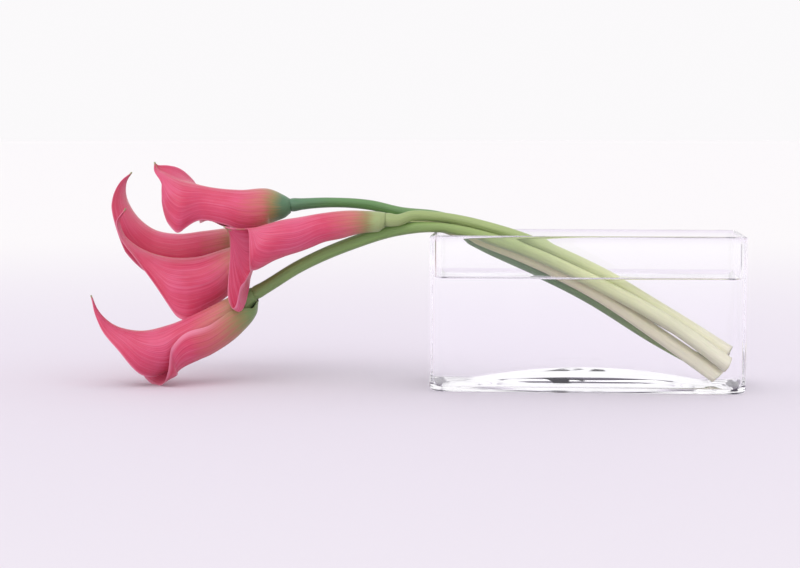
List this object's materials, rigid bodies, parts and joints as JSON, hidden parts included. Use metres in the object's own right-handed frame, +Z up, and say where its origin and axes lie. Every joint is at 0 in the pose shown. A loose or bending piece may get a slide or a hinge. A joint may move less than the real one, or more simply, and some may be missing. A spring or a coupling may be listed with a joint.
{
  "type": "calla lilies in a vase",
  "caption": "Cut calla lilies laid diagonally in a low clear oblong glass vase of water, stems over one short wall and blooms hanging beyond it.",
  "frame": {"origin": "middle of the whole arrangement seen from above, on the surface that the vase stands on", "axes": "+X from the blooms towards the vase, along the vase's long side; +Y away from the side that the blooms show best; +Z up"},
  "size_m": [0.4294, 0.1054, 0.1477],
  "materials": {
    "glass": "gloss",
    "water": "gloss",
    "stem": "satin",
    "spathe": "satin",
    "spadix": "matte"
  },
  "bodies": {
    "root": {"vase": "glass", "water": "water", "stem_1": "stem", "stem_2": "stem", "stem_3": "stem", "stem_4": "stem", "stem_5": "stem", "spathe_1": "spathe", "spathe_2": "spathe", "spathe_3": "spathe", "spathe_4": "spathe", "spathe_5": "spathe", "spadix_1": "spadix", "spadix_2": "spadix", "spadix_3": "spadix", "spadix_4": "spadix", "spadix_5": "spadix"}
  },
  "joints": []
}
